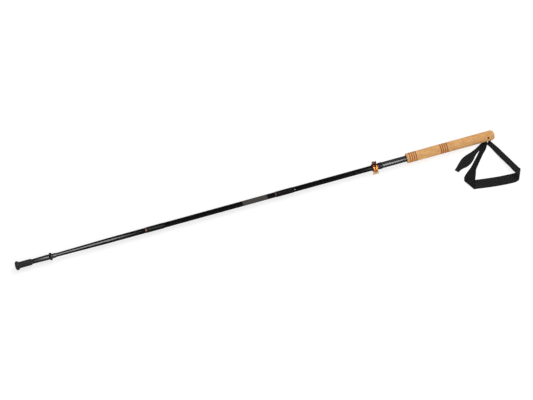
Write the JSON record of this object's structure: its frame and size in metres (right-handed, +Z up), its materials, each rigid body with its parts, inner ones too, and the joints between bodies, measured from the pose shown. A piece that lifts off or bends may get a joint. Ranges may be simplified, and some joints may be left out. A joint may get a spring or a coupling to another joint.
{
  "type": "wading staff",
  "caption": "Folding carbon wading staff with a cork grip, a lever clamp that sets its length, a push-button joint, a pull-off rubber foot and a woven wrist strap.",
  "frame": {"origin": "centre of the rubber foot's sole, on the staff's axis", "axes": "+X along the staff towards the grip, +Z up as it lies, -Y the side where the wrist strap lies"},
  "size_m": [1.366, 0.1776, 0.0315],
  "materials": {
    "cork": "sanded natural cork with dark burnt rings",
    "carbon": "satin lacquered carbon fibre",
    "black_sleeve": "smooth black",
    "black_plastic": "moulded, fine satin",
    "rubber": "moulded, matte",
    "steel": "turned stainless steel",
    "aluminium": "drawn, satin",
    "red_anodised": "dark red anodised",
    "orange_anodised": "bright orange anodised",
    "elastic_cord": "braided elastic",
    "webbing": "woven black webbing"
  },
  "bodies": {
    "handle": {"cork_grip": "cork", "handle_tube": "carbon", "clamp_collar": "black_plastic", "strap_plug": "black_plastic", "strap_pin": "steel", "clamp_ring": "red_anodised", "pivot_barrel": "steel", "wrist_strap": "webbing"},
    "lever": {"clamp_lever": "orange_anodised"},
    "screw": {"clamp_screw": "steel"},
    "upper_section": {"upper_shaft": "carbon", "tension_sleeve": "black_sleeve", "shaft_top_bush": "black_plastic", "cord_anchor_top": "black_plastic", "tension_cord": "elastic_cord", "button_clip": "steel"},
    "button": {"release_button": "steel"},
    "middle_section": {"middle_shaft": "carbon", "lower_joint_sleeve": "black_sleeve", "upper_spigot": "aluminium", "upper_joint_ring": "red_anodised"},
    "lower_section": {"lower_shaft": "carbon", "lower_spigot": "aluminium", "lower_joint_ring": "red_anodised", "cord_anchor_bottom": "black_plastic", "tip_cone": "black_plastic", "metal_tip": "steel", "stop_disc": "black_plastic"},
    "foot": {"rubber_foot": "rubber", "foot_washer": "steel"}
  },
  "joints": [
    {"name": "staff_length", "type": "slide", "parent": "handle", "child": "upper_section", "axis": [1, 0, 0], "range_m": [-0.083, 0.044]},
    {"name": "clamp_lever", "type": "hinge", "parent": "handle", "child": "lever", "pos_m": [1.0024, 0.0042, 0.01499], "axis": [-1, 0, 0], "range_deg": [0, 120]},
    {"name": "clamp_screw", "type": "hinge", "parent": "handle", "child": "screw", "pos_m": [1.0024, 0.00973, 0.00907], "axis": [0, 0.682, -0.7314], "range_deg": [-180, 180]},
    {"name": "release_button", "type": "slide", "parent": "upper_section", "child": "button", "axis": [0, 0.6428, -0.766], "range_m": [0, 0.0012], "stiffness_N_per_m": 1200, "springref_m": -0.0004, "deforming": ["button_clip"]},
    {"name": "upper_joint", "type": "slide", "parent": "upper_section", "child": "middle_section", "axis": [-1, 0, 0], "range_m": [0, 0.05], "stiffness_N_per_m": 250, "springref_m": -0.04},
    {"name": "lower_joint", "type": "slide", "parent": "middle_section", "child": "lower_section", "axis": [-1, 0, 0], "range_m": [0, 0.053], "stiffness_N_per_m": 250, "springref_m": -0.04},
    {"name": "foot_pull", "type": "slide", "parent": "lower_section", "child": "foot", "axis": [-1, 0, 0], "range_m": [0, 0.04]}
  ]
}
